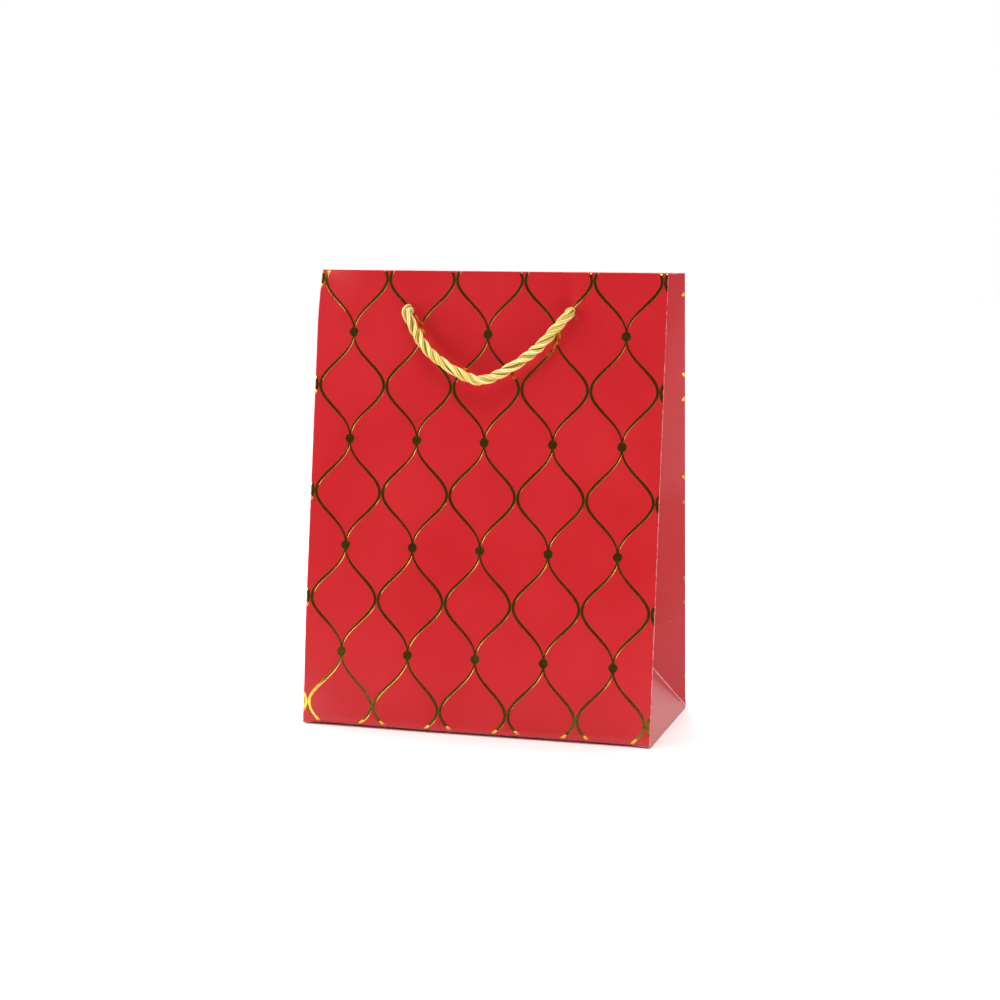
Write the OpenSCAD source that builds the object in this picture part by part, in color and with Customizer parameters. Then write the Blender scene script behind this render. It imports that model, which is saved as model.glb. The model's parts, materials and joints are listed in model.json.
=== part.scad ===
// Paper carrier gift bag with side gussets, a folded bottom and two rope handles.
// The base lies on the plane z = 0 and is centred on the origin. The front faces -Y.
// Every crease joins two sheets that turn about the middle of the paper's thickness.

/* [Bag] */
// Width of the front and back panels
bag_w = 180; // [150:1:240]
// Depth of the bag at its base
bag_d = 100; // [80:1:130]
// Height of the front and back panels, measured along the paper
bag_h = 230; // [190:1:290]
// Angle by which the front and back panels lean inwards as the bag stands, in degrees
lean = 6.8; // [5:0.1:8]

/* [Paper] */
// Thickness of the laminated paper
paper_t = 0.3; // [0.2:0.05:0.4]
// Gap between a folding sheet and the crease that it turns about
crease_gap = 1.8; // [1.5:0.1:2.5]
// Half of the gap between two gusset sheets at the pleat that runs down the side
pleat_gap = 3; // [2.5:0.1:4]
// Gap kept on each side of a slanting or level crease in the gusset
fold_gap = 1; // [0.8:0.1:1.5]

/* [Top edge] */
// Height of the strip that is turned in and glued along the mouth
hem_h = 38; // [30:1:50]
// Height of the stiffening card inside the turned strip
card_h = 34; // [28:1:48]
// Thickness of the stiffening card
card_t = 0.6; // [0.4:0.1:0.8]
// Distance from the ends of the card and the turned strip to the side creases
hem_inset = 8; // [7:1:15]
// Thickness of the glue under the strips turned in along the gussets
glue_t = 0.08; // [0.05:0.01:0.15]

/* [Bottom] */
// Length by which the front and back bottom flaps overlap in the middle
flap_overlap = 30; // [15:1:50]
// Length of the side bottom flaps
side_flap_l = 48; // [30:1:60]
// Thickness of the loose base board
board_t = 1.2; // [0.8:0.1:2]
// Gap between the base board's edges and the bottom creases
board_gap = 3; // [2.5:0.5:6]
// Width of the glue tab that closes the tube of paper
tab_w = 16; // [12:1:20]

/* [Rope handles] */
// Diameter of the twisted rope
rope_d = 5; // [3.5:0.5:5.5]
// Distance between the centres of the two rope holes in one panel
hole_spacing = 83; // [70:1:88]
// Distance from the mouth's edge to the centre of a rope hole
hole_drop = 20; // [16:1:24]
// Play between the rope and the edge of its hole, all round
hole_play = 0.2; // [0.1:0.1:0.5]
// Diameter of the knot that stops the rope inside
knot_d = 11; // [9:0.5:12]
// Length of rope left below the knot
tail_l = 12; // [6:1:20]

/* [Hidden] */
// Route of a handle as it hangs: along the panel, out from its face, down from the holes. Its
// two ends lie on the line about which it swings.
rope_route = [
    [-41.5, 3.2, 1], [-40.6, 4.2, 3], [-38.4, 5.2, 6.6], [-35.6, 5.8, 11.2], [-32, 6.4, 16.6],
    [-26.8, 7, 22], [-20.4, 7.4, 26.6], [-13.8, 7.8, 30.4], [-7.4, 8, 33.4], [-1.4, 8, 34.8],
    [4.4, 8, 33.6], [10.8, 7.8, 30.4], [17.4, 7.4, 26.2], [23.8, 7, 21.4], [29.4, 6.4, 16],
    [33.8, 5.8, 10.8], [37.4, 5.2, 6.4], [40.2, 4.2, 3], [41.5, 3.2, 1]
];
rope_sides = 10;
// Creases, in the middle of the paper
crease_x = bag_w / 2 - paper_t / 2;
crease_y = bag_d / 2 - paper_t / 2;
crease_z = paper_t / 2;
// The folded corner rises to half the depth, where the level crease runs
level_h = crease_y;
foot_tilt = acos((1 - sin(lean)) / cos(lean));
// Angle by which a gusset sheet folds in from the square position, at height h of its panel
function fold_in(h) = acos((crease_y - h * sin(lean)) / (crease_y * cos(lean)));
twist_steps = 8;
hem_z = bag_h - hem_h;
hem_rows = levels(hem_z, bag_h - paper_t);
// Distances inwards from the outer face of a panel
hole_z = bag_h - hole_drop;
stack_t = paper_t / 2 + card_t + paper_t;
knot_y = stack_t + knot_d / 2;
stub_out = 0.3;
tab_inset = 4;
hem_margin = 3;
paper = [0.80, 0.14, 0.16];
inside = [0.93, 0.92, 0.90];
gold = [0.86, 0.72, 0.36];
grey = [0.72, 0.70, 0.66];

// A panel's own frame: origin on its bottom crease, x along it, y inwards, z up the paper.
module panel_frame(back = false) {
    rotate([0, 0, back ? 180 : 0])
        translate([0, -crease_y, crease_z])
            rotate([-lean, 0, 0])
                children();
}

// Carries a piece of the right front quarter to one of the four quarters of the bag.
module quarter(right, front) {
    mirror([right ? 0 : 1, 0, 0])
        mirror([0, front ? 0 : 1, 0])
            children();
}

// A flat sheet in a panel's plane, from x0 to x1 and from z0 to z1, with its faces at y0 and y1.
module sheet(x0, x1, z0, z1, y0, y1) {
    translate([x0, y0, z0])
        cube([x1 - x0, y1 - y0, z1 - z0]);
}

// The two rope holes of a panel, bored right through its layers.
module rope_holes() {
    for (side = [-1, 1])
        translate([side * hole_spacing / 2, knot_d, hole_z])
            rotate([90, 0, 0])
                cylinder(h = 2 * knot_d, d = rope_d + 2 * hole_play, $fn = 48);
}

module panel() {
    difference() {
        sheet(-crease_x, crease_x, fold_gap, bag_h, -paper_t / 2, paper_t / 2);
        rope_holes();
    }
}

module top_card() {
    half = crease_x - hem_inset - hem_margin;
    difference() {
        sheet(-half, half, bag_h - card_h, bag_h - paper_t, paper_t / 2, paper_t / 2 + card_t);
        rope_holes();
    }
}

module hem() {
    half = crease_x - hem_inset;
    difference() {
        sheet(-half, half, hem_z, bag_h - paper_t, paper_t / 2 + card_t, stack_t);
        rope_holes();
    }
}

// Heights at which a folded sheet turns a little further, from z0 to z1.
function levels(z0, z1) = [for (i = [0:twist_steps]) z0 + (z1 - z0) * i / twist_steps];

// A folded and slightly twisted sheet through the heights in rows, in the right front quarter.
// r0 and r1 are distances from the side crease, and shift moves it towards the panel. Both
// broad faces are split along the same diagonal, so that a sheet glued on lies flat on it.
module twisted_sheet(rows, r0, r1, shift) {
    points = [
        for (z = rows)
            for (corner = [[r0, -1], [r1, -1], [r1, 1], [r0, 1]])
                let (
                    a = fold_in(z),
                    off = corner[1] * paper_t / 2 - shift
                )
                [crease_x - corner[0] * sin(a) + off * cos(a), corner[0] * cos(a) + off * sin(a), z]
    ];
    sides = [
        for (i = [0:len(rows) - 2])
            for (k = [0:3])
                let (a = 4 * i + k, b = 4 * i + (k + 1) % 4)
                    each k == 2 ? [[a, a + 4, b], [b, a + 4, b + 4]]
                        : [[a, a + 4, b + 4], [a, b + 4, b]]
    ];
    last = 4 * (len(rows) - 1);
    polyhedron(points, concat(sides, [[0, 1, 2], [0, 2, 3]],
        [[last, last + 2, last + 1], [last, last + 3, last + 2]]));
}

// The tall half of a gusset, between the level crease and the mouth.
module gusset(right, front) {
    color(paper)
        quarter(right, front)
            panel_frame()
                twisted_sheet(concat(levels(level_h + fold_gap / 2, hem_z - fold_gap), hem_rows,
                    [bag_h]), crease_gap, crease_y - pleat_gap, 0);
}

// The turned-in strip glued inside a gusset half.
module gusset_hem(right, front) {
    color(paper)
        quarter(right, front)
            panel_frame()
                twisted_sheet(hem_rows, crease_gap + hem_margin, crease_y - pleat_gap - hem_margin,
                    paper_t + glue_t);
}

// The triangle of gusset between a panel's side crease, the level crease and the slanting one.
module corner(right, front) {
    top = level_h - fold_gap / 2;
    slant = fold_gap * sqrt(2);
    color(paper)
        quarter(right, front)
            panel_frame()
                translate([crease_x, 0, 0])
                    rotate([0, 0, fold_in(level_h)])
                        rotate([90, 0, 90])
                            linear_extrude(paper_t, center = true)
                                polygon([
                                    [crease_gap, crease_gap + slant],
                                    [top - slant, top],
                                    [crease_gap, top]
                                ]);
}

// The triangle of gusset that stands on the base's side crease and leans inwards.
module foot(right) {
    slant = fold_gap * sqrt(2);
    half = crease_y - slant - crease_gap;
    color(paper)
        quarter(right, true)
            translate([crease_x, 0, crease_z])
                rotate([0, -foot_tilt, 0])
                    rotate([90, 0, 90])
                        linear_extrude(paper_t, center = true)
                            polygon([
                                [-half, crease_gap],
                                [half, crease_gap],
                                [0, crease_gap + half]
                            ]);
}

// A front or back bottom flap. The front one steps up over the back one where they overlap.
module bottom_flap(over) {
    reach = flap_overlap / 2;
    outer = crease_y - fold_gap / 2;
    lap = paper_t + 0.02;
    rotate([90, 0, 90])
        linear_extrude(2 * crease_x - 2 * fold_gap, center = true)
            polygon(over ? [
                [-outer, 0], [-reach - lap, 0], [-reach - lap, paper_t], [reach, paper_t],
                [reach, 2 * paper_t], [-reach - 2 * lap, 2 * paper_t],
                [-reach - 2 * lap, paper_t], [-outer, paper_t]
            ] : [[-reach, 0], [outer, 0], [outer, paper_t], [-reach, paper_t]]);
}

// A side bottom flap with its inner corners cut off, above the front and back flaps.
module side_flap(right) {
    outer = crease_x - crease_gap;
    wide = crease_y - 2 * crease_gap;
    inner = outer - side_flap_l;
    narrow = wide - side_flap_l / 2;
    color(inside)
        quarter(right, true)
            translate([0, 0, 2 * paper_t])
                linear_extrude(paper_t)
                    polygon([[outer, -wide], [outer, wide], [inner, narrow], [inner, -narrow]]);
}

// Sweep of a round rope along a route, as rings of points joined by triangles.
function unit(v) = v / norm(v);
function tangent(route, i) =
    unit(route[min(i + 1, len(route) - 1)] - route[max(i - 1, 0)]);
module rope_sweep(route, d) {
    out = [0, 1, 0];
    count = len(route);
    rings = [
        for (i = [0:count - 1])
            let (t = tangent(route, i), u = unit(cross(t, out)), w = cross(u, t))
                for (k = [0:rope_sides - 1])
                    let (a = 360 * k / rope_sides)
                        route[i] + d / 2 * (cos(a) * u + sin(a) * w)
    ];
    wall = [
        for (i = [0:count - 2])
            for (k = [0:rope_sides - 1])
                let (
                    a = i * rope_sides + k,
                    b = i * rope_sides + (k + 1) % rope_sides
                )
                each [[a, b, b + rope_sides], [a, b + rope_sides, a + rope_sides]]
    ];
    first = [for (k = [1:rope_sides - 2]) [0, k + 1, k]];
    base = (count - 1) * rope_sides;
    last = [for (k = [1:rope_sides - 2]) [base, base + k, base + k + 1]];
    polyhedron(rings, concat(wall, first, last));
}

// The loop of rope that hangs in front of a panel.
module handle(back) {
    color(gold)
        panel_frame(back)
            rope_sweep([for (p = rope_route) [p[0], -paper_t / 2 - p[1], hole_z - p[2]]], rope_d);
}

// The rope's end inside the bag: the stretch in the hole, the knot behind it and the tail.
module rope_end(back, side) {
    color(gold)
        panel_frame(back)
            translate([side * hole_spacing / 2, 0, hole_z]) {
                translate([0, knot_y, 0])
                    rotate([90, 0, 0])
                        cylinder(h = knot_y + paper_t / 2 + stub_out, d = rope_d, $fn = 32);
                translate([0, knot_y, 0])
                    sphere(d = knot_d, $fn = 32);
                translate([0, knot_y, -knot_d / 2 - tail_l])
                    cylinder(h = knot_d / 2 + tail_l, d = rope_d, $fn = 32);
            }
}

module front_panel() {
    color(paper)
        panel_frame()
            panel();
}

module back_panel() {
    color(paper)
        panel_frame(true)
            panel();
}

module front_hem() {
    color(paper)
        panel_frame()
            hem();
}

module back_hem() {
    color(paper)
        panel_frame(true)
            hem();
}

module front_top_card() {
    color(grey)
        panel_frame()
            top_card();
}

module back_top_card() {
    color(grey)
        panel_frame(true)
            top_card();
}

// A strip of the left gusset's edge, glued to the inside of the back panel.
module glue_tab() {
    outer = crease_x - tab_inset;
    color(inside)
        panel_frame(true)
            sheet(outer - tab_w, outer, crease_gap, hem_z - fold_gap, paper_t / 2, 1.5 * paper_t);
}

module bottom_flap_front() {
    color(paper)
        bottom_flap(true);
}

module bottom_flap_back() {
    color(paper)
        bottom_flap(false);
}

module base_board() {
    half_w = crease_x - board_gap;
    half_d = crease_y - board_gap;
    color(grey)
        translate([-half_w, -half_d, 3 * paper_t])
            cube([2 * half_w, 2 * half_d, board_t]);
}

front_panel();
back_panel();
front_hem();
back_hem();
front_top_card();
back_top_card();
gusset(true, true);  // gusset_right_front
gusset(true, false);  // gusset_right_rear
gusset(false, true);  // gusset_left_front
gusset(false, false);  // gusset_left_rear
gusset_hem(true, true);  // hem_right_front
gusset_hem(true, false);  // hem_right_rear
gusset_hem(false, true);  // hem_left_front
gusset_hem(false, false);  // hem_left_rear
corner(true, true);  // corner_right_front
corner(true, false);  // corner_right_rear
corner(false, true);  // corner_left_front
corner(false, false);  // corner_left_rear
foot(true);  // foot_right
foot(false);  // foot_left
glue_tab();
bottom_flap_front();
bottom_flap_back();
side_flap(true);  // bottom_flap_right
side_flap(false);  // bottom_flap_left
base_board();
handle(false);  // rope_front
handle(true);  // rope_back
rope_end(false, 1);  // rope_end_front_right
rope_end(false, -1);  // rope_end_front_left
rope_end(true, -1);  // rope_end_back_right
rope_end(true, 1);  // rope_end_back_left
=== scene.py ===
import json
import math

import bpy
import numpy as np
from mathutils import Matrix, Vector


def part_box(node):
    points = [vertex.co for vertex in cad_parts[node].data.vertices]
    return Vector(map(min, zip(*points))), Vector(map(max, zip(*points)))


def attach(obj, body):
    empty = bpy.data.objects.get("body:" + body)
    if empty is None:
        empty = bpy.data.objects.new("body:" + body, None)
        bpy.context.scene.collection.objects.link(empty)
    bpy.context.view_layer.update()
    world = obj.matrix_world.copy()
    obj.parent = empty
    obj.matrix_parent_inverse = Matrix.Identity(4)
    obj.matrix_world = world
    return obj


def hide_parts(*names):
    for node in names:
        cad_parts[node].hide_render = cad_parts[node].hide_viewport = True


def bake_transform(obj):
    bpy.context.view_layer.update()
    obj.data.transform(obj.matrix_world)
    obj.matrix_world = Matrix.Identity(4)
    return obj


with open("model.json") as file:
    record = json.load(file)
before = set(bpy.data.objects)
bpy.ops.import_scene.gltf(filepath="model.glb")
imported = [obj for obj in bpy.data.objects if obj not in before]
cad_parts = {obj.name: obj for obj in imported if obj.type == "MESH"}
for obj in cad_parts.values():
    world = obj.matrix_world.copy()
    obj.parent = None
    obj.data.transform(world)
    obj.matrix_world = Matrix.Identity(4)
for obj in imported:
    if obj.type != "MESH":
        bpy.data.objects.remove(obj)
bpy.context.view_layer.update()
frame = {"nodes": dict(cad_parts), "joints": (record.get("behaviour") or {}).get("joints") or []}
mm = 0.001

# Camera. A short telephoto at the height of the bag's mouth, a little to the right of the front,
# so that the pleated right side just shows.
bpy.ops.object.camera_add()
camera = bpy.context.object
camera.name = "camera"
camera.data.lens = 73
camera.data.sensor_width = 36
camera.data.clip_end = 20
camera_place = Vector((0.2694, -0.9969, 0.2290))
camera_yaw, camera_pitch, camera_roll = (math.radians(a) for a in (15.12, 6.46, 0.57))
camera.matrix_world = (
    Matrix.Translation(camera_place)
    @ Matrix.Rotation(camera_yaw, 4, "Z")
    @ Matrix.Rotation(math.pi / 2 - camera_pitch, 4, "X")
    @ Matrix.Rotation(camera_roll, 4, "Z")
)
bpy.context.scene.camera = camera
bpy.context.scene.view_settings.view_transform = "Standard"

# The folded sheet. All the paper is one sheet with creases, and these lines and angles of the
# frame say where each crease runs. Places on a wall are given along it, inwards and up the paper.
hinge = {joint["name"]: joint for joint in frame["joints"]}
crease_x, crease_y, crease_z = hinge["pleat_right_rear_fold"]["pos_m"]
lean = math.asin(abs(hinge["pleat_right_rear_fold"]["axis"][1]))
wall_top = (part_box("front_panel")[1].z - crease_z) / math.cos(lean)
level_h = crease_y
paper_t = 0.3 * mm
sides = {"right": 1, "left": -1}
ends = {"front": 1, "rear": -1}


def on_wall(x, inward, up, x_sign=1, y_sign=1):
    """Points of the front wall, or mirrored to another quarter of the bag by the signs."""
    y = -crease_y + inward * math.cos(lean) + up * math.sin(lean)
    z = crease_z - inward * math.sin(lean) + up * math.cos(lean)
    return np.stack(np.broadcast_arrays(x_sign * x, y_sign * y, z), axis=-1)


def fold_in(up):
    """How far a gusset sheet has turned in from the square position, at a height up the wall."""
    return np.arccos((crease_y - up * math.sin(lean)) / (crease_y * math.cos(lean)))


# Rope handles. Each is one length of gold cord, three strands laid up right-handed, threaded
# through two plain punched holes and knotted inside. It hangs down the outside of its wall.
rope_d = 5 * mm
rope_step = 0.45 * mm
rope_bend_off = 3.2 * mm
hole_x = 41.5 * mm
hole_up = wall_top - 20 * mm
rope_route = np.array([
    (-41.5, 3.2, 1), (-40.6, 4.2, 3), (-38.4, 5.2, 6.6), (-35.6, 5.8, 11.2), (-32, 6.4, 16.6),
    (-26.8, 7, 22), (-20.4, 7.4, 26.6), (-13.8, 7.8, 30.4), (-7.4, 8, 33.4), (-1.4, 8, 34.8),
    (4.4, 8, 33.6), (10.8, 7.8, 30.4), (17.4, 7.4, 26.2), (23.8, 7, 21.4), (29.4, 6.4, 16),
    (33.8, 5.8, 10.8), (37.4, 5.2, 6.4), (40.2, 4.2, 3), (41.5, 3.2, 1),
]) * mm
rope_in_hole = np.array([(-41.5, -2.4, -0.8), (-41.5, 0.6, -0.5)]) * mm


def smooth_line(points, spacing):
    """Points of the smooth curve through the given ones, evenly spaced along it."""
    p = np.vstack([2 * points[0] - points[1], points, 2 * points[-1] - points[-2]])
    t = np.linspace(0, 1, 40, endpoint=False)[:, None]
    fine = [
        0.5 * (2 * b + (c - a) * t + (2 * a - 5 * b + 4 * c - d) * t**2
               + (3 * b - a - 3 * c + d) * t**3)
        for a, b, c, d in zip(p, p[1:], p[2:], p[3:])
    ]
    fine = np.vstack([*fine, points[-1:]])
    run = np.concatenate([[0], np.cumsum(np.linalg.norm(np.diff(fine, axis=0), axis=1))])
    even = np.linspace(0, run[-1], max(2, round(run[-1] / spacing) + 1))
    return np.stack([np.interp(even, run, fine[:, k]) for k in range(3)], axis=-1), run[-1]


def frames_along(line):
    """Tangents of a line, with two directions across it that don't twist about it."""
    tangents = np.gradient(line, axis=0)
    tangents /= np.linalg.norm(tangents, axis=1)[:, None]
    across = [np.cross(tangents[0], (0.3, 0.5, 0.8))]
    for t in tangents[1:]:
        across.append(across[-1] - t * (across[-1] @ t))
    across = np.array(across)
    across /= np.linalg.norm(across, axis=1)[:, None]
    return tangents, across, np.cross(tangents, across)


def laid_rope(name, line, length, diameter, start_turn=0.0, frayed=False):
    """Three twisted strands of small yarns along a line, as one mesh with a UV map and a depth that
    paints shade and highlight.
    """
    lay = 4.3 * diameter
    strand_r = 0.236 * diameter
    strand_off = 0.266 * diameter
    around = 42
    yarns = 6
    fray_l = 1.6 * diameter
    _, u, v = frames_along(line)
    run = np.linspace(0, length, len(line))
    loose = 0.30 * np.sin(run / (5.3 * mm) + 1.0) + 0.22 * np.sin(run / (2.9 * mm))
    vertices, faces, uvs, groove_shades = [], [], [], []
    for strand in range(3):
        turn = start_turn + 2 * math.pi * (run / lay + strand / 3) + loose
        turn = turn + 0.12 * np.sin(run / (3.7 * mm) + 2.1 * strand)
        out = np.cos(turn)[:, None] * u + np.sin(turn)[:, None] * v
        drift = 1 + 0.10 * np.sin(run / (4.1 * mm) + 1.7 * strand)
        tip = np.clip((run - length + fray_l) / fray_l, 0, 1) * frayed
        centre = line + (strand_off * drift + 0.20 * diameter * tip**2)[:, None] * out
        tangents = np.gradient(centre, axis=0)
        tangents /= np.linalg.norm(tangents, axis=1)[:, None]
        first = out - tangents * np.sum(out * tangents, axis=1)[:, None]
        first /= np.linalg.norm(first, axis=1)[:, None]
        second = np.cross(tangents, first)
        angle = 2 * math.pi * np.arange(around) / around
        swirl = angle[None, :] - run[:, None] / (1.1 * lay)
        lobes = 0.19 * np.abs(np.cos(yarns / 2 * swirl)) + 0.04 * np.cos(2 * swirl + strand)
        radius = strand_r * (0.87 + lobes) * (1 + 0.3 * tip)[:, None]
        ring = (
            centre[:, None, :]
            + radius[..., None] * np.cos(angle)[None, :, None] * first[:, None, :]
            + radius[..., None] * np.sin(angle)[None, :, None] * second[:, None, :]
        )
        base = sum(len(block) for block in vertices)
        vertices.append(ring.reshape(-1, 3))
        # Painted shade and highlight: the deeper a point lies in a groove, the darker its gold is
        # painted; the crests are painted pale.
        out_there = np.linalg.norm(ring - line[:, None, :], axis=2) / (0.5 * diameter)
        groove_shades.append((0.62 * out_there + 1.7 * (lobes - 0.13)).ravel())
        for i in range(len(line) - 1):
            for k in range(around):
                a, b = i * around + k, i * around + (k + 1) % around
                faces.append([base + a, base + b, base + b + around, base + a + around])
                uvs += [(k / around, run[i] / lay), ((k + 1) / around, run[i] / lay),
                        ((k + 1) / around, run[i + 1] / lay), (k / around, run[i + 1] / lay)]
        last = base + (len(line) - 1) * around
        faces.append([base + k for k in reversed(range(around))])
        faces.append([last + k for k in range(around)])
        uvs += [(0.5, 0)] * (2 * around)
    mesh = bpy.data.meshes.new(name)
    mesh.from_pydata(np.vstack(vertices).tolist(), [], faces)
    layer = mesh.uv_layers.new(name="along_strand")
    layer.data.foreach_set("uv", np.array(uvs, np.float32).ravel())
    depth = mesh.attributes.new("yarn_height", "FLOAT", "POINT")
    depth.data.foreach_set("value", np.concatenate(groove_shades).astype(np.float32))
    rope = bpy.data.objects.new(name, mesh)
    bpy.context.scene.collection.objects.link(rope)
    mesh.shade_smooth()
    return rope


def new_material(name):
    """A new material, its node tree and its Principled BSDF."""
    material = bpy.data.materials.new(name)
    material.use_nodes = True
    tree = material.node_tree
    shader = tree.nodes["Principled BSDF"]
    return material, tree, shader


def add_node(tree, kind, inputs=None, **settings):
    """A node with its settings, and its inputs given as values or as sockets to link."""
    node = tree.nodes.new(kind)
    for key, value in settings.items():
        setattr(node, key, value)
    for key, value in (inputs or {}).items():
        if isinstance(value, bpy.types.NodeSocket):
            tree.links.new(value, node.inputs[key])
        else:
            node.inputs[key].default_value = value
    return node


def colour_ramp(tree, factor, stops):
    """A ColorRamp node fed by factor, with (position, colour) stops."""
    ramp = add_node(tree, "ShaderNodeValToRGB", {"Fac": factor})
    while len(ramp.color_ramp.elements) < len(stops):
        ramp.color_ramp.elements.new(0.5)
    for element, (position, colour) in zip(ramp.color_ramp.elements, stops):
        element.position = position
        element.color = (*colour, 1)
    return ramp


# Gold cord, painted dark olive in the grooves between strands and yarns as shade, and near white on
# the crests as highlight; fine filaments vary it at random.
gold_rope, tree, shader = new_material("gold_rope")
along = add_node(tree, "ShaderNodeUVMap", uv_map="along_strand")
fine_yarn = add_node(tree, "ShaderNodeMapping", {"Vector": along.outputs[0],
                     "Rotation": (0, 0, 0.12), "Scale": (46, 1.6, 1)})
filament = add_node(tree, "ShaderNodeTexNoise", {"Vector": fine_yarn.outputs[0], "Scale": 1.0,
                    "Detail": 3.0, "Roughness": 0.6})
groove_shade = add_node(tree, "ShaderNodeAttribute", attribute_name="yarn_height",
                  attribute_type="GEOMETRY")
lit = add_node(tree, "ShaderNodeMath", {0: filament.outputs["Fac"], 1: 0.42, 2: -0.21},
               operation="MULTIPLY_ADD")
shade = add_node(tree, "ShaderNodeMath", {0: groove_shade.outputs["Fac"], 1: lit.outputs[0]},
                 operation="ADD")
# This ramp paints the shade in the grooves and the highlight on the crests.
rope_shade_tint = colour_ramp(tree, shade.outputs[0], [
    (0.30, (0.30, 0.13, 0.004)), (0.47, (0.66, 0.42, 0.028)),
    (0.61, (0.92, 0.76, 0.17)), (0.77, (1.0, 0.95, 0.50))])
tree.links.new(rope_shade_tint.outputs[0], shader.inputs["Base Color"])
shader.inputs["Roughness"].default_value = 0.36
shader.inputs["Specular IOR Level"].default_value = 0.7
shader.inputs["Sheen Weight"].default_value = 0.1
shader.inputs["Sheen Tint"].default_value = (1, 0.92, 0.6, 1)
yarn_bump = add_node(tree, "ShaderNodeBump", {"Height": filament.outputs["Fac"], "Strength": 0.6,
                     "Distance": 0.00012})
tree.links.new(yarn_bump.outputs[0], shader.inputs["Normal"])

rope_points = np.vstack([rope_in_hole, rope_route, (rope_in_hole * (-1, 1, 1))[::-1]])
for end, turn in ends.items():
    wall = "front" if turn > 0 else "back"
    rope_line, rope_length = smooth_line(rope_points, rope_step)
    rope_line = on_wall(rope_line[:, 0], -paper_t / 2 - rope_line[:, 1], hole_up - rope_line[:, 2])
    rope_line *= (turn, turn, 1)
    rope = laid_rope(f"{wall}_rope_handle", rope_line, rope_length, rope_d)
    rope.data.materials.append(gold_rope)
    mouth_of_hole = on_wall(0.0, -paper_t / 2, hole_up) * (turn, turn, 1)
    swing_line = on_wall(0.0, -paper_t / 2 - rope_bend_off, hole_up) * (turn, turn, 1)
    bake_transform(rope)
    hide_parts(f"rope_{wall}")

# Rope ends. Inside each hole the rope is tied in an overhand knot that can't pull through, and
# a short tail is left below it with its yarns loose.
knot_route = np.array([
    (0, -1.2, -0.6), (0, 1.6, -0.4), (1.6, 4.6, 2.2), (3.6, 7.2, 3.6), (1.0, 9.8, 4.6),
    (-3.6, 8.4, 3.2), (-4.6, 5.0, 0.4), (-1.6, 3.6, -2.8), (2.8, 4.8, -3.6), (4.8, 8.0, -1.2),
    (2.6, 10.2, 1.4), (-1.2, 8.4, 0.2), (-1.6, 6.6, -4.2), (-0.6, 6.0, -9.0), (0.2, 6.4, -14.0),
    (0.0, 7.2, -18.5),
]) * mm
knot_rope_d = 0.92 * rope_d
knot_inset = 0.8 * mm
knots = {"front": [], "back": []}
for end, turn in ends.items():
    wall = "front" if turn > 0 else "back"
    for side, across in sides.items():
        knot_line, knot_length = smooth_line(knot_route * (across, 1, 1), rope_step)
        knot_line = on_wall(across * hole_x + knot_line[:, 0], knot_inset + knot_line[:, 1],
                            hole_up + knot_line[:, 2])
        knot_line *= (1, turn, 1)
        knot = laid_rope(f"{wall}_knot_{side}", knot_line, knot_length, knot_rope_d,
                         start_turn=across, frayed=True)
        knot.data.materials.append(gold_rope)
        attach(knot, f"{wall}_wall")
        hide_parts(f"rope_end_{wall}_{side}")
        knots[wall].append(knot)

# Red laminated paper. Coated art paper printed red all over under a gloss film; the film shows
# faint orange peel. Along the creases the red is painted pale pink, partly as rubbing of the print
# and partly as a painted highlight. Its inside is plain white.
red_paper, tree, shader = new_material("red_paper")
place = add_node(tree, "ShaderNodeTexCoord")
mottle = add_node(tree, "ShaderNodeTexNoise", {"Vector": place.outputs["Object"],
                  "Scale": 16.0, "Detail": 4.0, "Roughness": 0.55})
grain = add_node(tree, "ShaderNodeTexNoise", {"Vector": place.outputs["Object"],
                 "Scale": 1100.0, "Detail": 2.0})
red_tint = colour_ramp(tree, mottle.outputs["Fac"], [(0.3, (0.53, 0.011, 0.015)),
                                                     (0.7, (0.59, 0.017, 0.023))])
wear = add_node(tree, "ShaderNodeAttribute", attribute_name="wear", attribute_type="GEOMETRY")
rub_sheen_noise = add_node(tree, "ShaderNodeTexNoise", {"Vector": place.outputs["Object"],
               "Scale": 330.0, "Detail": 6.0, "Roughness": 0.75})
rub_and_sheen = add_node(tree, "ShaderNodeMath", {0: wear.outputs["Fac"], 1: rub_sheen_noise.outputs["Fac"]},
                  operation="MULTIPLY")
wear_and_sheen_mask = add_node(tree, "ShaderNodeMapRange", {"Value": rub_and_sheen.outputs[0], "From Min": 0.36,
                "From Max": 0.60})
# Painted highlight and rubbing: along the creases the red is mixed to pale pink, broken up by
# noise.
wear_and_sheen_tint = add_node(tree, "ShaderNodeMix", {0: wear_and_sheen_mask.outputs[0], 6: red_tint.outputs[0],
                     7: (0.86, 0.42, 0.44, 1)}, data_type="RGBA")
tree.links.new(wear_and_sheen_tint.outputs[2], shader.inputs["Base Color"])
gloss = add_node(tree, "ShaderNodeMapRange", {"Value": mottle.outputs["Fac"], "To Min": 0.30,
                 "To Max": 0.40})
tree.links.new(gloss.outputs[0], shader.inputs["Roughness"])
shader.inputs["Specular IOR Level"].default_value = 0.30
shader.inputs["Coat Weight"].default_value = 0.42
shader.inputs["Coat Roughness"].default_value = 0.13
peel = add_node(tree, "ShaderNodeBump", {"Height": grain.outputs["Fac"], "Strength": 0.10,
                "Distance": 0.0001})
swell = add_node(tree, "ShaderNodeBump", {"Height": mottle.outputs["Fac"], "Strength": 0.30,
                 "Distance": 0.0008, "Normal": peel.outputs[0]})
tree.links.new(swell.outputs[0], shader.inputs["Normal"])

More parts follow.
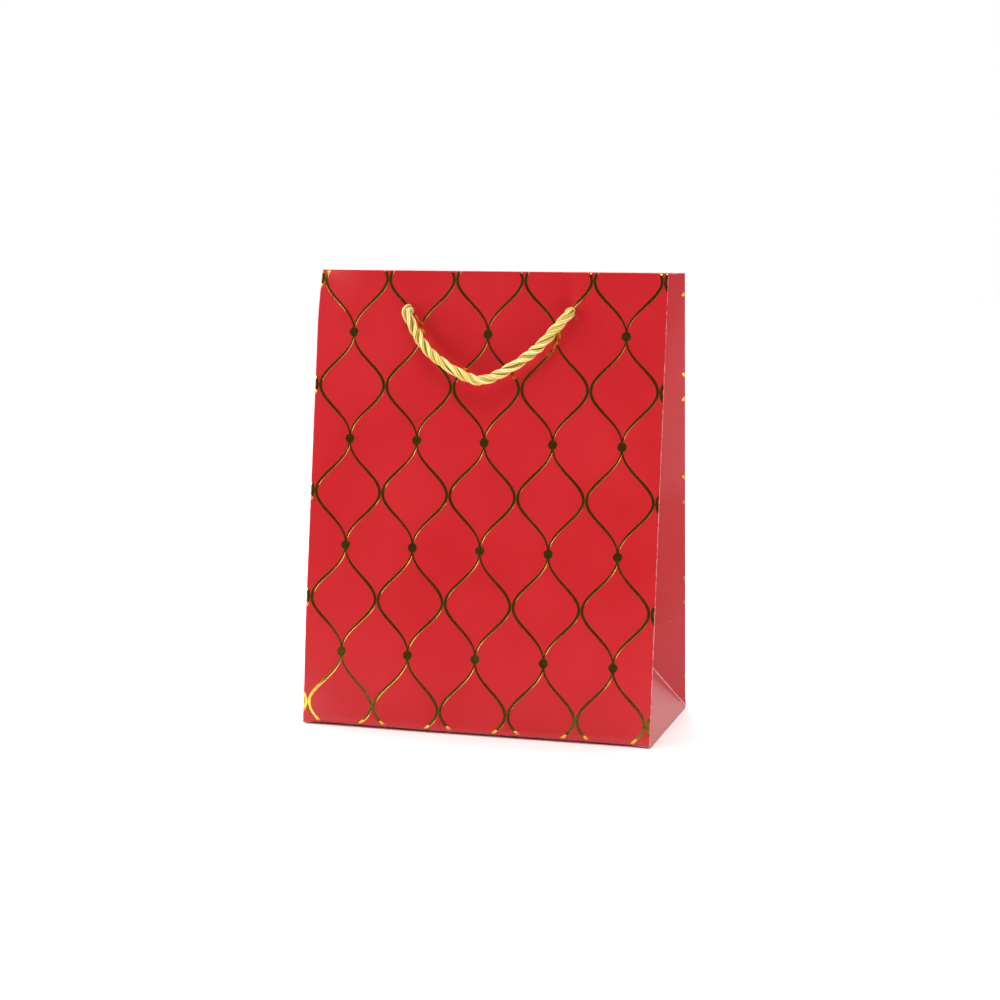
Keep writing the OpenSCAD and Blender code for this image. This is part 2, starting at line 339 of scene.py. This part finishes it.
white_paper, tree, shader = new_material("white_paper")
place = add_node(tree, "ShaderNodeTexCoord")
pulp = add_node(tree, "ShaderNodeTexNoise", {"Vector": place.outputs["Object"],
                "Scale": 300.0, "Detail": 6.0, "Roughness": 0.65})
pulp_tint = colour_ramp(tree, pulp.outputs["Fac"], [(0.3, (0.78, 0.76, 0.72)),
                                                    (0.7, (0.86, 0.85, 0.82))])
tree.links.new(pulp_tint.outputs[0], shader.inputs["Base Color"])
shader.inputs["Roughness"].default_value = 0.75
tooth = add_node(tree, "ShaderNodeBump", {"Height": pulp.outputs["Fac"], "Strength": 0.25,
                 "Distance": 0.0001})
tree.links.new(tooth.outputs[0], shader.inputs["Normal"])

crease_r = 0.8 * mm
sharp_r = 0.15 * mm
base_r = 2.4 * mm
base_gap = 1.0 * mm
card_t = 0.6 * mm
mouth_r = (card_t + paper_t) / 2
hole_play = 0.4 * mm
hole_d = rope_d + hole_play
bent_corners = (
    (on_wall(-crease_x, 0.0, 0.0), 70 * mm, np.array((0.4, 1.8, 0.2)) * mm),
    (on_wall(-crease_x, 0.0, wall_top), 26 * mm, np.array((0.4, 3.0, 0.0)) * mm),
)


sag_depth = 2.0 * mm
pucker_depth = 0.9 * mm


def bow(x, up):
    """How far a wall sags in between its creases, with a pucker above its right-hand hole."""
    u = np.clip(x / crease_x, -1, 1)
    v = np.clip(up / wall_top, 0, 1)
    sag = sag_depth * (1 - u**2) * np.sin(math.pi * v)
    above = np.clip(up - hole_up, 0, None)
    spread = 3.0 * mm + 0.14 * above
    pucker = np.exp(-((x - hole_x + 0.12 * above) / spread) ** 2) * np.exp(-above / (22 * mm))
    below = np.exp(-(np.clip(hole_up - up, 0, None) / (3 * mm)) ** 2)
    return sag + pucker_depth * pucker * below


def settle(points):
    """The bag's two left front corners are bent in a little from being handled and set down."""
    moved = np.array(points, float)
    for corner, reach, shift in bent_corners:
        away = np.linalg.norm(points - corner, axis=-1)
        moved += (np.clip(1 - away / reach, 0, 1) ** 1.5)[..., None] * shift
    return moved


def soft_r(up):
    """The radius of the side creases: it runs out at the bottom corners."""
    return sharp_r + (crease_r - sharp_r) * np.clip(up / (8 * mm), 0, 1)


def side_fold(q, up):
    """(x, inward) about a side crease, q from it: before it on the wall, past it on the gusset."""
    r = soft_r(up)
    angle = fold_in(np.maximum(up, level_h))
    t = np.clip(0.5 + 0.5 * q / r, 0, 1)
    beyond = np.clip(q - r, 0, None) + t**2 * r
    short = np.clip(-q - r, 0, None) + (1 - t) ** 2 * r
    return crease_x - short - beyond * np.sin(angle), beyond * np.cos(angle)


def paper_sheet(name, cols, rows, place, wear_and_sheen_at=None, flip=False, cut_edge=0, thick=paper_t):
    """A grid of paper whose corners place() puts where they go, with its thickness and its pale
    creases, painted as rubbing and highlight.
    """
    bpy.ops.object.select_all(action="DESELECT")
    bpy.ops.mesh.primitive_grid_add(x_subdivisions=len(cols) - 1, y_subdivisions=len(rows) - 1,
                                    size=1)
    piece = bpy.context.object
    piece.name = name
    piece.data.name = name
    c, r = (g.ravel() for g in np.meshgrid(cols, rows))
    points = settle(place(c, r))
    piece.data.vertices.foreach_set("co", points.astype(np.float32).ravel())
    if flip:
        bpy.ops.object.mode_set(mode="EDIT")
        bpy.ops.mesh.select_all(action="SELECT")
        bpy.ops.mesh.flip_normals()
        bpy.ops.object.mode_set(mode="OBJECT")
    # Per point, how much rubbing and painted highlight the creases get.
    wear_and_sheen_here = piece.data.attributes.new("wear", "FLOAT", "POINT")
    value = np.zeros(len(c)) if wear_and_sheen_at is None else wear_and_sheen_at(c, r)
    wear_and_sheen_here.data.foreach_set("value", value.astype(np.float32))
    piece.data.materials.append(red_paper)
    piece.data.materials.append(white_paper)
    solid = piece.modifiers.new("thickness", "SOLIDIFY")
    solid.thickness = thick
    solid.offset = 0
    solid.material_offset = 1
    solid.material_offset_rim = cut_edge
    bpy.ops.object.modifier_apply(modifier=solid.name)
    bpy.ops.object.shade_smooth_by_angle(angle=math.radians(40))
    return piece


# Front and back walls. Each is the panel between two side creases, sagging in slightly, rolled
# over at the mouth and under at the base. Two round holes are punched through it for the rope.
def mouth_fold(s):
    """(inward, up) at a distance s up the sheet: up the wall, over the mouth and down inside."""
    s = np.asarray(s, float)
    turn = np.clip((s - wall_top + mouth_r) / mouth_r, 0, math.pi)
    inward = mouth_r * (1 - np.cos(turn))
    down = np.clip(s - wall_top + mouth_r - math.pi * mouth_r, 0, None)
    up = np.minimum(s, wall_top - mouth_r) + mouth_r * np.sin(turn) - down
    return inward, up


def wall_place(x, s, lift=0.0, turn=1):
    """A point of a wall or its hem, lifted off the printed face of the sheet."""
    inward, up = mouth_fold(s)
    angle = np.clip((s - wall_top + mouth_r) / mouth_r, 0, math.pi)
    across, back = side_fold(np.abs(x) - crease_x, up)
    under = np.clip(1 - s / base_r, 0, 1)
    ease = 1 - np.clip(np.abs(x) / crease_x, 0, 1) ** 14
    roll = base_r * (1 - np.sqrt(1 - (0.85 * under) ** 2)) * ease
    tilt = np.clip(0.5 + 0.5 * (np.abs(x) - crease_x) / soft_r(up), 0, 1) * 1.1
    inward = inward + back + bow(x, up) + roll - lift * np.cos(angle) * np.cos(tilt)
    up = up + lift * np.sin(angle) + base_gap * ease * np.clip(1 - s / (8 * mm), 0, 1) ** 2
    across = across + lift * np.sin(tilt)
    return on_wall(np.sign(x) * across, inward, up) * (turn, turn, 1)


def edged(low, high, count, edge, edge_count=6):
    """Stops from low to high with a few extra ones close to both ends."""
    tight = edge * np.linspace(0, 1, edge_count, endpoint=False)
    middle = np.linspace(low + edge, high - edge, count)
    return np.concatenate([low + tight, middle, (high - tight)[::-1]])


def punch_holes(piece, turn):
    """Cuts the two rope holes through a wall's sheet."""
    for across in (-1, 1):
        bpy.ops.object.select_all(action="DESELECT")
        centre = on_wall(across * hole_x, 0.0, hole_up) * (turn, turn, 1)
        bpy.ops.mesh.primitive_cylinder_add(vertices=40, radius=hole_d / 2, depth=12 * mm,
                                            location=centre,
                                            rotation=(math.pi / 2 - turn * lean, 0, 0))
        punch = bpy.context.object
        bpy.ops.object.select_all(action="DESELECT")
        bpy.context.view_layer.objects.active = piece
        piece.select_set(True)
        cut = piece.modifiers.new("hole", "BOOLEAN")
        cut.operation = "DIFFERENCE"
        cut.solver = "EXACT"
        cut.object = punch
        bpy.ops.object.modifier_apply(modifier=cut.name)
        bpy.data.objects.remove(punch)


def crease_wear_and_sheen(x, s):
    """Rubbing of the print and a painted highlight on the outside of a wall: along its side, base
    and mouth folds.
    """
    side = np.exp(-np.clip(crease_x - 0.3 * mm - np.abs(x), 0, None) / (0.45 * mm))
    base = 0.9 * np.exp(-s / (0.5 * mm))
    mouth = 0.75 * np.exp(-((s - wall_top - 0.2 * mm) / (0.4 * mm)) ** 2)
    return np.clip(np.maximum(np.maximum(side, base), mouth), 0, 1)


wall_cols = edged(-crease_x, crease_x, 91, crease_r)
wall_rows = np.concatenate([
    edged(0, wall_top - mouth_r, 111, base_r),
    wall_top - mouth_r + mouth_r * np.linspace(0, math.pi / 2, 6)[1:],
])
walls = {"front": 1, "back": -1}
for wall, turn in walls.items():
    panel = paper_sheet(f"{wall}_wall_paper", wall_cols, wall_rows,
                        lambda x, s: wall_place(x, s, turn=turn), crease_wear_and_sheen)
    punch_holes(panel, turn)
    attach(panel, f"{wall}_wall")
    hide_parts(f"{wall}_panel")

# Turned-in strips. Along the mouth the sheet is folded in over a strip of grey card and glued,
# so its printed side shows inside. Its ends stop short of the side creases.
hem_h = 38 * mm
hem_start = wall_top - mouth_r + mouth_r * math.pi / 2
hem_end = wall_top - mouth_r + mouth_r * math.pi + hem_h
hem_half = crease_x - 8 * mm
card_h = 34 * mm
card_half = crease_x - 11 * mm
hem_rows = np.concatenate([
    wall_top - mouth_r + mouth_r * np.linspace(math.pi / 2, math.pi, 6),
    np.linspace(wall_top - mouth_r + mouth_r * math.pi, hem_end, 20)[1:],
])

grey_card, tree, shader = new_material("grey_card")
place = add_node(tree, "ShaderNodeTexCoord")
flecks = add_node(tree, "ShaderNodeTexNoise", {"Vector": place.outputs["Object"],
                  "Scale": 600.0, "Detail": 6.0, "Roughness": 0.7})
clouds = add_node(tree, "ShaderNodeTexNoise", {"Vector": place.outputs["Object"],
                  "Scale": 60.0, "Detail": 3.0})
blotch = add_node(tree, "ShaderNodeMath", {0: flecks.outputs["Fac"], 1: clouds.outputs["Fac"]},
                  operation="MULTIPLY")
card_tint = colour_ramp(tree, blotch.outputs[0], [(0.12, (0.20, 0.18, 0.15)),
                                                  (0.42, (0.42, 0.39, 0.34))])
tree.links.new(card_tint.outputs[0], shader.inputs["Base Color"])
shader.inputs["Roughness"].default_value = 0.85
nap = add_node(tree, "ShaderNodeBump", {"Height": flecks.outputs["Fac"], "Strength": 0.35,
               "Distance": 0.0002})
tree.links.new(nap.outputs[0], shader.inputs["Normal"])

for wall, turn in walls.items():
    hem = paper_sheet(f"{wall}_mouth_hem", edged(-hem_half, hem_half, 81, crease_r), hem_rows,
                      lambda x, s: wall_place(x, s, turn=turn), cut_edge=1)
    punch_holes(hem, turn)
    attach(hem, f"{wall}_wall")
    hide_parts(f"{wall}_hem")
    card = paper_sheet(
        f"{wall}_mouth_card", edged(-card_half, card_half, 61, crease_r),
        np.linspace(wall_top - card_h, wall_top - 0.5 * mm, 21),
        lambda x, up: on_wall(x, mouth_r + bow(x, up), up) * (turn, turn, 1),
        thick=card_t - 0.06 * mm)
    card.data.materials[0] = grey_card
    card.data.materials[1] = grey_card
    punch_holes(card, turn)
    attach(card, f"{wall}_wall")
    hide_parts(f"{wall}_top_card")

# Gussets. Each side is pleated inwards in two tall half-sheets that meet at the pleat. Their top
# edges are folded in like the walls', with a hem of their own and no card.
pleat_fold_r = (paper_t + 0.08 * mm) / 2
sheet_belly = 0.8 * mm
follows_wall_up = -110 * mm
follows_pleat_up = 284 * mm


def gusset_place(r, s, x_sign, y_sign, lift=0.0):
    """A point of a tall gusset sheet, r from the side crease; its last bit rolls into the pleat."""
    turn = np.clip((s - wall_top + pleat_fold_r) / pleat_fold_r, 0, math.pi)
    down = np.clip(s - wall_top + pleat_fold_r - math.pi * pleat_fold_r, 0, None)
    up = np.minimum(s, wall_top - pleat_fold_r) + pleat_fold_r * np.sin(turn) - down
    angle = fold_in(up)
    belly = sheet_belly * np.sin(math.pi * np.clip(r / crease_y, 0, 1)) ** 2 * np.sin(
        math.pi * np.clip((up - level_h) / (wall_top - level_h), 0, 1)) ** 0.8
    off = belly + lift * np.cos(turn) - pleat_fold_r * (1 - np.cos(turn))
    x, inward = side_fold(np.minimum(r, crease_y - crease_r), up)
    q = np.clip(r - crease_y + crease_r, 0, crease_r) / crease_r / 2
    left = crease_r * (1 - (1 - q) ** 2)
    past = crease_r * q**2
    x = x - (left - past) * np.sin(angle) + off * np.cos(angle)
    inward = inward + (left + past) * np.cos(angle) + off * np.sin(angle)
    return on_wall(x, inward, up, x_sign, y_sign)


def gusset_wear_and_sheen(r, s):
    """Rubbing and a painted highlight along the side crease, the pleat, the level crease and the
    mouth.
    """
    return np.clip(np.maximum.reduce([
        0.85 * np.exp(-r / (0.35 * mm)), 0.85 * np.exp(-(crease_y - r) / (0.5 * mm)),
        0.9 * np.exp(-(s - level_h) / (0.5 * mm)),
        0.85 * np.exp(-((s - wall_top) / (0.5 * mm)) ** 2)]), 0, 1)


gusset_cols = edged(0, crease_y, 25, crease_r)
gusset_rows = np.concatenate([
    edged(level_h, wall_top - pleat_fold_r, 71, crease_r),
    wall_top - pleat_fold_r + pleat_fold_r * np.linspace(0, math.pi / 2, 5)[1:],
])
gusset_hem_rows = np.concatenate([
    wall_top - pleat_fold_r + pleat_fold_r * np.linspace(math.pi / 2, math.pi, 5),
    np.linspace(wall_top - pleat_fold_r + pleat_fold_r * math.pi, wall_top + hem_h, 20)[1:],
])


def bend_with_pleat(piece, x_sign, y_sign):
    """Bakes a gusset sheet's placement into its mesh; the points on its wall low down and on its
    pleat high up are worked out but not used.
    """
    on_wall(crease_x, 0.0, follows_wall_up, x_sign, y_sign)
    on_wall(crease_x, 0.0, follows_pleat_up, x_sign, y_sign)
    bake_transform(piece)


gusset_hem_cols = np.linspace(4.8 * mm, crease_y - 3.2 * mm, 22)
for side, x_sign in sides.items():
    for end, y_sign in ends.items():
        gusset = paper_sheet(
            f"gusset_{side}_{end}_paper", gusset_cols, gusset_rows,
            lambda r, s: gusset_place(r, s, x_sign, y_sign), gusset_wear_and_sheen,
            flip=x_sign * y_sign < 0)
        bend_with_pleat(gusset, x_sign, y_sign)
        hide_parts(f"gusset_{side}_{end}")
        hem = paper_sheet(
            f"gusset_{side}_{end}_hem", gusset_hem_cols, gusset_hem_rows,
            lambda r, s: gusset_place(r, s, x_sign, y_sign),
            flip=x_sign * y_sign < 0, cut_edge=1)
        bend_with_pleat(hem, x_sign, y_sign)
        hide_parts(f"hem_{side}_{end}")

# Folded corners and feet. Slanting creases run from both bottom corners to the foot of the pleat;
# they carry the most rubbing and the brightest painted highlight of the bag's creases.
foot_tilt = math.acos((1 - math.sin(lean)) / math.cos(lean))
foot_dent = 0.8 * mm
tip_trim = 0.3 * mm


def corner_place(across, up, x_sign, y_sign, lift=0.0):
    """A corner triangle: across runs from the side crease (0) to the slanting crease (1)."""
    angle = fold_in(level_h)
    x, inward = side_fold(across * up, up)
    return on_wall(x + lift * math.cos(angle), inward + lift * math.sin(angle), up,
                   x_sign, y_sign)


def foot_place(across, up, x_sign):
    """The foot triangle: across runs from the front slanting crease (-1) to the rear one (1)."""
    y = across * (crease_y - up)
    dent = foot_dent * (1 - across**2) * np.sin(math.pi * up / crease_y)
    x = crease_x - up * math.sin(foot_tilt) - dent * math.cos(foot_tilt)
    z = crease_z + up * math.cos(foot_tilt) - dent * math.sin(foot_tilt)
    return np.stack([x_sign * x, y, z], axis=-1)


for side, x_sign in sides.items():
    for end, y_sign in ends.items():
        corner = paper_sheet(
            f"corner_{side}_{end}_paper", edged(0, 1, 19, 0.03, 3),
            edged(tip_trim, level_h, 31, crease_r),
            lambda across, up: corner_place(across, up, x_sign, y_sign),
            # Pale creases of the corner: rubbing and a painted highlight, most on the slanting
            # crease.
            lambda across, up: np.maximum(1.45 * np.exp(-(1 - across) * up / (1.4 * mm)),
                                          0.85 * np.exp(-across * up / (0.35 * mm))),
            flip=x_sign * y_sign < 0)
        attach(corner, f"corner_{side}_{end}")
        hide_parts(f"corner_{side}_{end}")
    foot = paper_sheet(
        f"foot_{side}_paper", edged(-1, 1, 41, 0.03), edged(0, level_h - tip_trim, 25, crease_r),
        lambda across, up: foot_place(across, up, x_sign),
        # Pale slanting creases of the foot: rubbing and a painted highlight.
        lambda across, up: 1.45 * np.exp(-(1 - np.abs(across)) * (crease_y - up) / (1.4 * mm)),
        flip=x_sign < 0)
    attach(foot, f"foot_{side}")
    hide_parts(f"foot_{side}")

# Base. The front and rear flaps start where the walls roll under; the front one steps up over the
# rear one. The two side flaps are glued on them, and a loose grey board lies on top.
flap_overlap = 30 * mm
flap_step = 0.32 * mm
flap_half = crease_x - 1 * mm
flap_reach = crease_y + flap_overlap / 2
base_lip = base_r * (1 - math.sqrt(1 - 0.85**2))


def flap_place(x, depth, turn, step):
    """A bottom flap, depth in from where the wall's paper rolls under."""
    ease = 1 - np.clip(np.abs(x) / crease_x, 0, 1) ** 14
    y = -crease_y + base_lip * ease + depth
    climb = np.clip((depth - crease_y + 18 * mm) / (3 * mm), 0, 1)
    z = crease_z + flap_step * step * climb**2 * (3 - 2 * climb)
    z = z + base_gap * ease * np.clip(1 - depth / (9 * mm), 0, 1) ** 2
    return np.stack(np.broadcast_arrays(turn * x, turn * y, z), axis=-1)


flap_cols = edged(-flap_half, flap_half, 31, crease_r)
for wall, turn in walls.items():
    flap = paper_sheet(
        f"base_flap_{wall}", flap_cols, np.linspace(0, flap_reach - base_lip, 45),
        lambda x, depth: flap_place(x, depth, turn, step=turn > 0), flip=True, cut_edge=1)
    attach(flap, "base")
    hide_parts(f"bottom_flap_{wall}")
for node, finish in {"bottom_flap_left": white_paper, "bottom_flap_right": white_paper,
                     "base_board": grey_card}.items():
    frame["nodes"][node].data.materials[0] = finish

# Glued tab. One end of the sheet laps under the back wall beside a rear crease, white side in.
tab_inset = 4 * mm
tab_w = 16 * mm
tab_cols = np.linspace(crease_x - tab_inset - tab_w, crease_x - tab_inset, 9)
tab_rows = np.linspace(2 * mm, wall_top - hem_h - 1 * mm, 61)
tab_lay = paper_t + 0.05 * mm
tab = paper_sheet("glued_tab", tab_cols, tab_rows,
                  lambda x, up: on_wall(-x, tab_lay + bow(-x, up), up, -1, -1) * (-1, 1, 1),
                  flip=True)
tab.data.materials[0] = white_paper
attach(tab, "back_wall")
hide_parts("glue_tab")

# Gold foil. The pattern is hot-stamped on the walls: columns of pointed ovals whose lines part at
# a dot, swing out until they almost touch the next column, and come back to the next dot. It is
# pressed in a little, so the lower side of each line has a small bright wall.
pitch_x = 34.98 * mm
pitch_up = 53.75 * mm
first_dot_up = 37.5 * mm
kiss_gap = 1.6 * mm
dot_d = 4.7 * mm
foil_lift = 0.04 * mm
foil_wall = 0.055 * mm
foil_margin = 0.8 * mm
foil_clear = 0.4 * mm
line_w = 0.86 * mm
line_swell = 0.60 * mm

gold_foil, tree, shader = new_material("gold_foil")
place = add_node(tree, "ShaderNodeTexCoord")
brushed = add_node(tree, "ShaderNodeTexNoise", {"Vector": place.outputs["Object"],
                   "Scale": 90.0, "Detail": 3.0, "Roughness": 0.5})
foil_tint = colour_ramp(tree, brushed.outputs["Fac"], [(0.3, (0.78, 0.52, 0.06)),
                                                       (0.7, (0.90, 0.65, 0.12))])
tree.links.new(foil_tint.outputs[0], shader.inputs["Base Color"])
foil_gloss = add_node(tree, "ShaderNodeMapRange", {"Value": brushed.outputs["Fac"],
                      "To Min": 0.08, "To Max": 0.16})
tree.links.new(foil_gloss.outputs[0], shader.inputs["Roughness"])
shader.inputs["Metallic"].default_value = 1.0
foil_bump = add_node(tree, "ShaderNodeBump", {"Height": brushed.outputs["Fac"], "Strength": 0.12,
                     "Distance": 0.0005})
tree.links.new(foil_bump.outputs[0], shader.inputs["Normal"])


def oval_side(column, row, side):
    """Points (x, s) and widths of one line between two dots, bulging to one side."""
    v = np.linspace(-1, 1, 61)
    t = 1 - np.abs(v)
    swing = (pitch_x - kiss_gap) / 2 * (1 - np.cos(math.pi * t**1.15)) / 2
    x = column * pitch_x + side * swing
    s = first_dot_up + (row + 0.5 + v / 2) * pitch_up
    width = line_w + line_swell * np.sin(math.pi * t / 2) ** 1.5
    return x, s, width


def ribbon(x, s, width, place, keep):
    """Vertices and faces of a stamped line along (x, s), over the stretches where keep holds."""
    run = np.stack([np.gradient(x), np.gradient(s)])
    run /= np.linalg.norm(run, axis=0)
    rise_left = foil_wall * np.clip(-2 * run[0], 0, 1)
    rise_right = foil_wall * np.clip(2 * run[0], 0, 1)
    profile = ((-1, rise_left), (-0.74, 0), (-0.68, 0), (0.68, 0), (0.74, 0), (1, rise_right))
    lanes = len(profile)
    strips = []
    for across, rise in profile:
        dx, ds = run[1] * across * width / 2, -run[0] * across * width / 2
        strips.append(place(x + dx, s + ds, paper_t / 2 + foil_lift + rise))
    grid = np.array(strips).transpose(1, 0, 2)
    kept = keep(x, s)
    faces = [
        [i * lanes + k, i * lanes + k + 1, (i + 1) * lanes + k + 1, (i + 1) * lanes + k]
        for i in range(len(grid) - 1) if kept[i] and kept[i + 1] for k in range(lanes - 1)
    ]
    return [(grid.reshape(-1, 3), faces)] if faces else []


def dot(x, s, place):
    """A round foil dot, pressed in, as rings about its centre."""
    facets = 28
    angle = 2 * math.pi * np.arange(facets) / facets
    lower_right = np.clip(0.7 * np.cos(angle) - 0.7 * np.sin(angle), 0, 1)
    points = [
        place(x + dot_d / 2 * share * np.cos(angle), s + dot_d / 2 * share * np.sin(angle),
              paper_t / 2 + 1.4 * foil_lift + rise * foil_wall * lower_right)
        for share, rise in ((0.0, 0), (0.5, 0), (0.86, 0), (0.9, 0.1), (1.0, 1.0))
    ]
    faces = [
        [i * facets + k, (i + 1) * facets + k,
         (i + 1) * facets + (k + 1) % facets, i * facets + (k + 1) % facets]
        for i in range(len(points) - 1) for k in range(facets)
    ]
    return [(np.vstack(points), faces)]


def foil_piece(name, parts, flip=False):
    """One mesh of foil from a list of (vertices, faces)."""
    vertices, faces, base = [], [], 0
    for points, quads in parts:
        used = sorted({i for quad in quads for i in quad})
        number = {i: base + n for n, i in enumerate(used)}
        vertices.append(points[used])
        faces += [[number[i] for i in (reversed(quad) if flip else quad)] for quad in quads]
        base += len(used)
    mesh = bpy.data.meshes.new(name)
    mesh.from_pydata(settle(np.vstack(vertices)).tolist(), [], faces)
    piece = bpy.data.objects.new(name, mesh)
    bpy.context.scene.collection.objects.link(piece)
    bpy.ops.object.select_all(action="DESELECT")
    bpy.context.view_layer.objects.active = piece
    piece.select_set(True)
    bpy.ops.object.mode_set(mode="EDIT")
    bpy.ops.mesh.select_all(action="SELECT")
    bpy.ops.mesh.remove_doubles(threshold=1e-6)
    bpy.ops.object.mode_set(mode="OBJECT")
    mesh.materials.append(gold_foil)
    mesh.shade_smooth()
    return piece


def clear_of_holes(x, s):
    """False where the rope holes are punched through the pattern."""
    folded_back = 2 * wall_top - s
    apart = np.minimum(np.hypot(np.abs(x) - hole_x, s - hole_up),
                       np.hypot(np.abs(x) - hole_x, folded_back - hole_up))
    return apart > hole_d / 2 + foil_clear


def stamped(columns, rows, place, keep):
    """All the lines and dots of the pattern in these columns and rows where keep holds."""
    parts = []
    for column in columns:
        for row in rows:
            for side in (-1, 1):
                parts += ribbon(*oval_side(column, row, side), place, keep)
            centre = np.array([column * pitch_x]), np.array([first_dot_up + row * pitch_up])
            if keep(*centre)[0]:
                parts += dot(*centre, place)
    return parts


for wall, turn in walls.items():
    foil = foil_piece(f"{wall}_wall_foil", stamped(
        range(-3, 4), range(-1, 4), lambda x, s, lift: wall_place(x, s, lift, turn),
        lambda x, s: (np.abs(x) < crease_x) & (s > 0.2 * mm) & (s < hem_start)
        & clear_of_holes(x, s)))
    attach(foil, f"{wall}_wall")
    foil = foil_piece(f"{wall}_hem_foil", stamped(
        range(-2, 3), range(3, 5), lambda x, s, lift: wall_place(x, s, lift, turn),
        lambda x, s: (np.abs(x) < hem_half - foil_margin) & (s > hem_start - 0.6 * mm)
        & (s < hem_end - foil_margin) & clear_of_holes(x, s)))
    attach(foil, f"{wall}_wall")

# The foil's die is a little wider than the walls, so the pattern runs over the side creases and
# leaves short strokes on the gussets and the folded corners.
foil_spill = 2.3 * mm
for side, x_sign in sides.items():
    for end, y_sign in ends.items():
        strokes = foil_piece(f"gusset_{side}_{end}_foil", stamped(
            (3,), range(0, 4),
            lambda x, s, lift: gusset_place(x - crease_x, s, x_sign, y_sign, lift),
            lambda x, s: (x > crease_x - 0.05 * mm) & (x < crease_x + foil_spill)
            & (s > level_h + 1 * mm) & (s < wall_top - 0.3 * mm)), flip=x_sign * y_sign < 0)
        bend_with_pleat(strokes, x_sign, y_sign)
        strokes = foil_piece(f"corner_{side}_{end}_foil", stamped(
            (3,), range(-1, 1),
            lambda x, s, lift: corner_place((x - crease_x) / s, s, x_sign, y_sign, lift),
            lambda x, s: (x > crease_x - 0.05 * mm) & (x < crease_x + foil_spill)
            & (x - crease_x < s - 2 * mm) & (s < level_h - 1 * mm)), flip=x_sign * y_sign < 0)
        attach(strokes, f"corner_{side}_{end}")

# Stage. A white table in a studio that is bright at both sides, most on the left, and behind, with
# a dark gap in front that the flat foil mirrors. Three softboxes light the bag: from above, from
# high in front and from the left.
bpy.ops.object.select_all(action="DESELECT")
bpy.ops.mesh.primitive_plane_add(size=1, location=(0, 0, 0))
floor = bpy.context.object
floor.name = "floor"
floor.data.transform(Matrix.Translation((0, 9.4, -0.0003)) @ Matrix.Diagonal((20, 20, 1, 1)))
# In reflections alone the table behind the bag is far darker than it is, so that the glossy
# gussets stay red.
floor_paint, tree, shader = new_material("floor_paint")
path = add_node(tree, "ShaderNodeLightPath")
spot = add_node(tree, "ShaderNodeTexCoord")
on_table = add_node(tree, "ShaderNodeSeparateXYZ", {0: spot.outputs["Object"]})
rear = add_node(tree, "ShaderNodeMath", {0: on_table.outputs["Y"], 1: 0.0},
                operation="GREATER_THAN")
mirrored = add_node(tree, "ShaderNodeMath", {0: path.outputs["Is Glossy Ray"],
                    1: rear.outputs[0]}, operation="MULTIPLY")
floor_tint = add_node(tree, "ShaderNodeMix", {0: mirrored.outputs[0],
                      6: (0.94, 0.94, 0.94, 1), 7: (0.24, 0.24, 0.24, 1)}, data_type="RGBA")
tree.links.new(floor_tint.outputs[2], shader.inputs["Base Color"])
shader.inputs["Roughness"].default_value = 0.9
floor.data.materials.append(floor_paint)

# The studio lights the bag unevenly, but the camera sees it as plain white.
world = bpy.data.worlds.new("studio")
bpy.context.scene.world = world
world.use_nodes = True
tree = world.node_tree
tree.nodes.clear()
direction = add_node(tree, "ShaderNodeTexCoord")
turned = add_node(tree, "ShaderNodeMapping", {"Vector": direction.outputs["Generated"],
                  "Rotation": (0, 0, math.radians(8))})
away = add_node(tree, "ShaderNodeSeparateXYZ", {0: turned.outputs[0]})
aside = add_node(tree, "ShaderNodeMath", {0: away.outputs["X"]}, operation="ABSOLUTE")
boxes = add_node(tree, "ShaderNodeMapRange", {"Value": aside.outputs[0], "From Min": 0.40,
                 "From Max": 0.72, "To Min": 0.022, "To Max": 1.0}, interpolation_type="SMOOTHSTEP")
behind = add_node(tree, "ShaderNodeMapRange", {"Value": away.outputs["Y"], "From Min": -0.35,
                  "From Max": 0.1, "To Min": 0.0, "To Max": 0.9}, interpolation_type="SMOOTHSTEP")
room = add_node(tree, "ShaderNodeMath", {0: boxes.outputs[0], 1: behind.outputs[0]},
                operation="MAXIMUM")
to_left = add_node(tree, "ShaderNodeMapRange", {"Value": away.outputs["X"], "From Min": -0.4,
                   "From Max": 0.4, "To Min": 2.7, "To Max": 0.6}, interpolation_type="SMOOTHSTEP")
strength = add_node(tree, "ShaderNodeMath", {0: room.outputs[0], 1: to_left.outputs[0]},
                    operation="MULTIPLY")
room_light = add_node(tree, "ShaderNodeBackground", {"Color": (1, 1, 1, 1),
                      "Strength": strength.outputs[0]})
seen = add_node(tree, "ShaderNodeBackground", {"Color": (1, 1, 1, 1), "Strength": 1.0})
ray = add_node(tree, "ShaderNodeLightPath")
both = add_node(tree, "ShaderNodeMixShader", {0: ray.outputs["Is Camera Ray"],
                1: room_light.outputs[0], 2: seen.outputs[0]})
add_node(tree, "ShaderNodeOutputWorld", {0: both.outputs[0]})


def softbox(name, place, size, power, target=(0, 0, 0.11)):
    """A square area light aimed at the bag."""
    bpy.ops.object.light_add(type="AREA", location=place)
    light = bpy.context.object
    light.name = name
    light.data.size = size
    light.data.energy = power
    aim = Vector(target) - Vector(place)
    light.rotation_euler = aim.to_track_quat("-Z", "Y").to_euler()


softbox("top_light", (0.0, 0.4, 1.8), 1.4, 24)
softbox("front_light", (0.2, -1.0, 1.5), 0.8, 10)
softbox("left_light", (-0.95, -0.9, 0.40), 0.30, 0.9)
